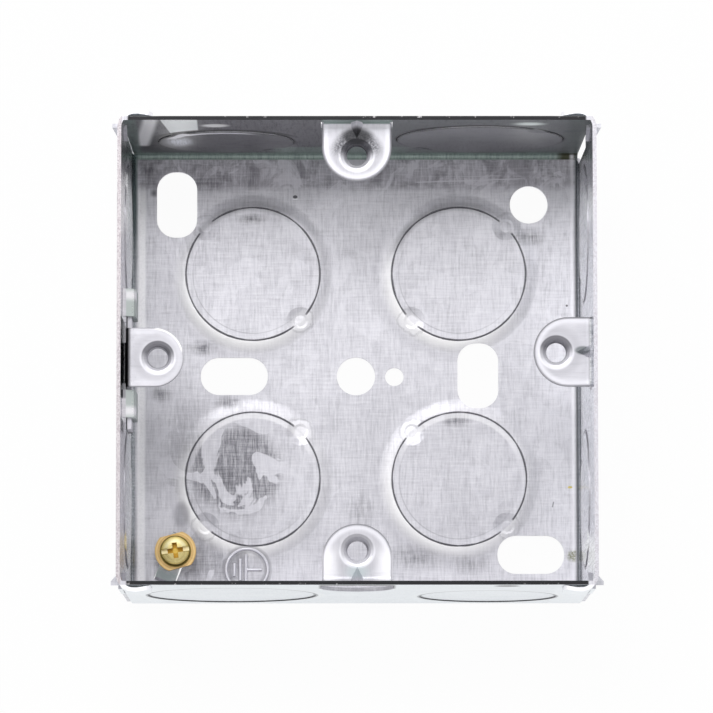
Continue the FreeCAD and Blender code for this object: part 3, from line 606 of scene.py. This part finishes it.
def zinc_lug():
    """Pressed zinc of the adjustable lug, with its rounded border and dished hole, painted
    highlights and shade, and a painted shadow on the faces towards the wall.
    """
    s = Surface("zinc_lug")
    x, y, z = s.x, s.y, s.z
    grain = s.noise(2.2, 4, 0.7, (0.12, 1.0, 0.12))
    cloud = s.noise(0.35, 4, 0.6)
    grit = s.noise(3.0, 4, 0.75)
    colour = s.mix(s.spread(cloud, 0.4, 0.65), zinc(217), zinc(205))
    along = y - SLIDER_HOLE[1]
    edge = SLIDER_HALF_WIDTH - length(along, (SLIDER_ROUND - x).smaller(0.0))
    away = length(x - SLIDER_HOLE[0], along)
    front = rise(z, 30.9, 31.3)
    tongue = dished_tongue(s, colour, edge, away, along / away, grain, 0.8, 0.35)
    colour = s.mix(front, colour, tongue)
    # painted highlight along the upper edge of the rounded end
    edge_highlight = window(edge, 0.05, 0.3, 0.08) * rise(x, -31.0, -30.0) * rise(along, 0.5, 1.5)
    colour = s.mix(front * edge_highlight, colour, zinc(255))
    gritty = front * s.spread(grit, 0.55, 0.7) * rise(x, -32.5, -34.5)
    colour = s.mix(gritty * 0.5, colour, zinc(150))
    # painted shadow on the faces hidden towards the wall
    hidden_shadow = rise(s.nx, -0.4, -0.7) + rise(x, -34.7, -34.9) + rise(z, 25.5, 25.0)
    colour = s.mix(hidden_shadow.clamp() * rise(x, -33.9, -34.2), colour, srgb(26, 26, 29))
    return s.finish(colour, 0.36 + cloud * 0.1, DULL_METAL, [(grain, 0.015), (cloud, 0.03)])


def turned_brass(name, crown, low):
    """Dull brass with fine turning lines round the screw's axis; low adds the deeper tones and the
    painted shade and highlight.
    """
    s = Surface(name)
    away = length(s.x - EARTH[0], s.y - EARTH[1])
    turning = s.field("ShaderNodeTexNoise", {"noise_dimensions": "1D"}, 0, W=away, Scale=5.0,
                      Detail=3.0)
    cloud = s.noise(0.9, 4, 0.6)
    colour = s.mix(s.spread(cloud, 0.4, 0.65), crown, tuple(c * 0.86 for c in crown))
    colour = s.mix(s.spread(turning, 0.52, 0.7) * 0.35, colour, srgb(172, 134, 70))
    colour = low(s, away, colour)
    return s.finish(colour, 0.30 + cloud * 0.15, DULL_METAL, [(turning, 0.02), (cloud, 0.02)])


def washer_low(s, away, colour):
    """Olive groove around the head, pale rim, painted shade on the underside."""
    colour = s.mix(window(away, 2.75, 3.05, 0.15) * 0.5, colour, srgb(244, 214, 152))
    # painted shade on the underside
    colour = s.mix(rise(s.z, 4.15, 3.8) * 0.7, colour, srgb(132, 92, 36))
    return s.mix(rise(away, 2.52, 2.36), colour, srgb(136, 118, 48))


def screw_low(s, away, colour):
    """Pale slot with painted shade along its edges, deep golden cross, a painted highlight arc on
    the upper side of the dome and an olive foot.
    """
    across = (s.x - EARTH[0]) * -math.sin(SLOT_TURN) + (s.y - EARTH[1]) * math.cos(SLOT_TURN)
    # painted highlight on the upper side of the dome
    arc = window(away, 1.25, 1.75, 0.2) * rise(s.y - EARTH[1], -0.2, 0.9)
    colour = s.mix(arc * 0.8, colour, srgb(255, 246, 196))
    colour = s.mix(rise(away, 1.85, 2.1) * 0.6, colour, srgb(176, 150, 66))
    slot = rise(abs(across), 0.36, 0.32) * rise(s.z, SCREW_CROWN - 0.4, SCREW_CROWN - 0.6)
    colour = s.mix(slot, colour, srgb(255, 240, 188))
    # painted shade along the slot's edges
    slot_edge = window(abs(across), 0.36, 0.46, 0.05) * rise(away, 1.2, 1.3)
    colour = s.mix(slot_edge * 0.8, colour, srgb(140, 112, 40))
    cross = rise(s.z, SCREW_CROWN - 0.74, SCREW_CROWN - 0.9) * rise(away, 1.4, 1.3)
    colour = s.mix(cross, colour, srgb(206, 158, 48))
    colour = s.mix(cross * rise(away, 0.5, 0.3), colour, srgb(236, 200, 92))
    foot = rise(s.z, SCREW_CROWN - 1.0, SCREW_CROWN - 1.5) * rise(away, 1.9, 2.1)
    return s.mix(foot, colour, srgb(110, 90, 34))


sheet_steel = galvanised_sheet()
lug_steel = zinc_lug()
washer_brass = turned_brass("washer_brass", srgb(228, 190, 126), washer_low)
screw_brass = turned_brass("screw_brass", srgb(240, 222, 150), screw_low)


def dress(obj, material):
    """Gives every face of an object one material."""
    obj.data.materials.clear()
    obj.data.materials.append(material)


for node, material, slot in (("box_body", sheet_steel, "galvanised_box"),
                             ("adjustable_lug", lug_steel, "galvanised_lug"),
                             ("earth_washer", washer_brass, "brass_washer"),
                             ("earth_screw", screw_brass, "brass_screw")):
    dress(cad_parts[node], material)


def surface(name, points, material, body):
    """Mesh of a grid of points (rows, columns, 3) in millimetres, joined into quads."""
    rows, columns = points.shape[:2]
    index = np.arange(rows * columns).reshape(rows, columns)
    corners = (index[:-1, :-1], index[:-1, 1:], index[1:, 1:], index[1:, :-1])
    quads = np.stack(corners, -1).reshape(-1, 4)
    mesh = bpy.data.meshes.new(name)
    mesh.from_pydata((points.reshape(-1, 3) * MM).tolist(), [], quads.tolist())
    mesh.polygons.foreach_set("use_smooth", np.ones(len(mesh.polygons), bool))
    mesh.update()
    obj = bpy.data.objects.new(name, mesh)
    bpy.context.scene.collection.objects.link(obj)
    dress(obj, material)
    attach(obj, body)


def ridge(path, around=9):
    """Half-round ridge along a flat path, standing on the sheet."""
    path = np.asarray(path, float)
    step = np.gradient(path, axis=0)
    step /= np.linalg.norm(step, axis=1)[:, None]
    side = np.stack([-step[:, 1], step[:, 0]], 1)
    turn = np.linspace(0, math.pi, around)
    flat = path[:, None] + side[:, None] * (np.cos(turn) * RIDGE_WIDTH / 2)[None, :, None]
    up = np.broadcast_to(SHEET + np.sin(turn) * RIDGE_HEIGHT, flat.shape[:2])
    return np.concatenate([flat, up[..., None]], 2)


def helix(centre, radius, depth, turns, top, inward, around=48, across=5):
    """V thread: a ridge of the given depth that winds down from top, inwards or outwards."""
    wind = np.linspace(0, 2 * math.pi * turns, int(around * turns) + 1)
    share = np.linspace(-1, 1, across)
    out = radius + (-1 if inward else 1) * depth * (1 - np.abs(share))
    fade = np.clip(np.minimum(wind, wind[-1] - wind) / math.pi, 0, 1)[:, None]
    reach = radius + (out[None] - radius) * fade
    sink = wind[:, None] / (2 * math.pi) * THREAD_PITCH
    level = top - sink + share[None] * THREAD_PITCH * 0.42
    return np.stack([centre[0] + reach * np.cos(wind)[:, None],
                     centre[1] + reach * np.sin(wind)[:, None], level], 2)


def lug_thread(name, centre, material, body):
    """Inward thread of a lug's hole, turned so that its faces look into the hole."""
    grid = helix(centre, LUG_BORE + INTO_METAL, LUG_THREAD_DEPTH, LUG_THREAD_TURNS,
                 LUG_THREAD_TOP, True)
    surface("lug_thread_" + name, grid[::-1], material, body)


for name, centre in LUG_HOLES.items():
    lug_thread(name, centre, sheet_steel, "box")
lug_thread("slider", SLIDER_HOLE, lug_steel, "lug")
surface("screw_thread", helix(EARTH, SCREW_THREAD_RADIUS, SCREW_THREAD_DEPTH, SCREW_THREAD_TURNS,
                              SCREW_THREAD_TOP, False), screw_brass, "screw")


def sign_ridge(name, path):
    """One pressed ridge of the earth sign, raised from the back."""
    surface("earth_sign_" + name, ridge(path), sheet_steel, "box")


def bar(x0, y0, x1, y1):
    """Points along a straight line, in even steps from its start to its end."""
    t = np.linspace(0, 1, 9)[:, None]
    return np.array([[x0, y0]]) * (1 - t) + np.array([[x1, y1]]) * t


# Earth sign, lying on its side: a ring with a stem and three bars, from the sign's middle
turn = np.linspace(0, 2 * math.pi, 97)
sign_ridge("ring", np.stack([SIGN[0] + SIGN_RADIUS * np.cos(turn),
                             SIGN[1] + SIGN_RADIUS * np.sin(turn)], 1))
for name, ends in (("stem", (0.0, 0.0, 2.3, 0.0)), ("bar_long", (-0.15, -2.4, -0.15, 2.4)),
                   ("bar_middle", (-1.05, -1.7, -1.05, 1.7)),
                   ("bar_short", (-1.95, -1.0, -1.95, 1.0))):
    sign_ridge(name, bar(*(SIGN[i % 2] + value for i, value in enumerate(ends))))


def floor():
    """Pale floor, white to the camera and to gloss, that still shows a faint shadow."""
    mesh = bpy.data.meshes.new("floor")
    corners = [(x * FLOOR_HALF, y * FLOOR_HALF, FLOOR_LEVEL)
               for x, y in ((-1, -1), (1, -1), (1, 1), (-1, 1))]
    mesh.from_pydata(corners, [], [(0, 1, 2, 3)])
    obj = bpy.data.objects.new("floor", mesh)
    bpy.context.scene.collection.objects.link(obj)
    material = bpy.data.materials.new("floor")
    mesh.materials.append(material)
    g = Graph(material)
    path = g.node("ShaderNodeLightPath")
    camera_ray, glossy_ray, through_ray = (Field(g, path.outputs[name]) for name in (
        "Is Camera Ray", "Is Glossy Ray", "Is Transmission Ray"))
    seen = camera_ray.larger(glossy_ray).larger(through_ray)
    pale = g.node("ShaderNodeBsdfDiffuse", Color=(0.9, 0.9, 0.9, 1)).outputs[0]
    glow = g.node("ShaderNodeEmission", Color=(1, 1, 1, 1), Strength=1.0).outputs[0]
    both = g.node("ShaderNodeMixShader", Fac=seen * 0.95, i1=pale, i2=glow)
    g.node("ShaderNodeOutputMaterial", Surface=both.outputs[0])


def sky():
    """White surroundings; gloss also sees a dark patch overhead, where the camera stands."""
    world = bpy.data.worlds.new("studio")
    bpy.context.scene.world = world
    g = Graph(world)
    path = g.node("ShaderNodeLightPath")
    way = g.node("ShaderNodeTexCoord").outputs["Generated"]
    split = g.node("ShaderNodeSeparateXYZ", Vector=way)
    dy, dz = (Field(g, split.outputs[i]) for i in (1, 2))
    overhead = rise(dy * -0.14 + dz * 0.99, 0.955, 0.995)
    gloss = Field(g, path.outputs["Is Glossy Ray"])
    through_ray = Field(g, path.outputs["Is Transmission Ray"])
    seen = Field(g, path.outputs["Is Camera Ray"]).larger(through_ray)
    light = (1.3 - dz * 0.78 + dy * 0.05) * (1.0 - seen) * (1.0 - gloss)
    level = light + gloss * (0.86 - overhead * 0.1) + seen
    glow = g.node("ShaderNodeBackground", Color=(1, 1, 1, 1), Strength=level)
    g.node("ShaderNodeOutputWorld", Surface=glow.outputs[0])


def lamp():
    """Square soft lamp above the top wall, which faces the part."""
    data = bpy.data.lights.new("key", "AREA")
    data.size = LAMP_SIZE
    data.energy = LAMP_WATTS
    obj = bpy.data.objects.new("key", data)
    bpy.context.scene.collection.objects.link(obj)
    obj.location = LAMP_PLACE
    obj.rotation_euler = (-Vector(LAMP_PLACE)).to_track_quat("-Z", "Y").to_euler()


floor()
sky()
lamp()

camera_data = bpy.data.cameras.new("camera")
camera_data.sensor_width = SENSOR_MM
camera_data.lens = FOCAL_PIXELS * SENSOR_MM / PICTURE_PIXELS
camera = bpy.data.objects.new("camera", camera_data)
bpy.context.scene.collection.objects.link(camera)
camera.location = CAMERA_PLACE
camera.rotation_euler = CAMERA_TURN
bpy.context.scene.camera = camera
bpy.context.scene.view_settings.view_transform = "Standard"
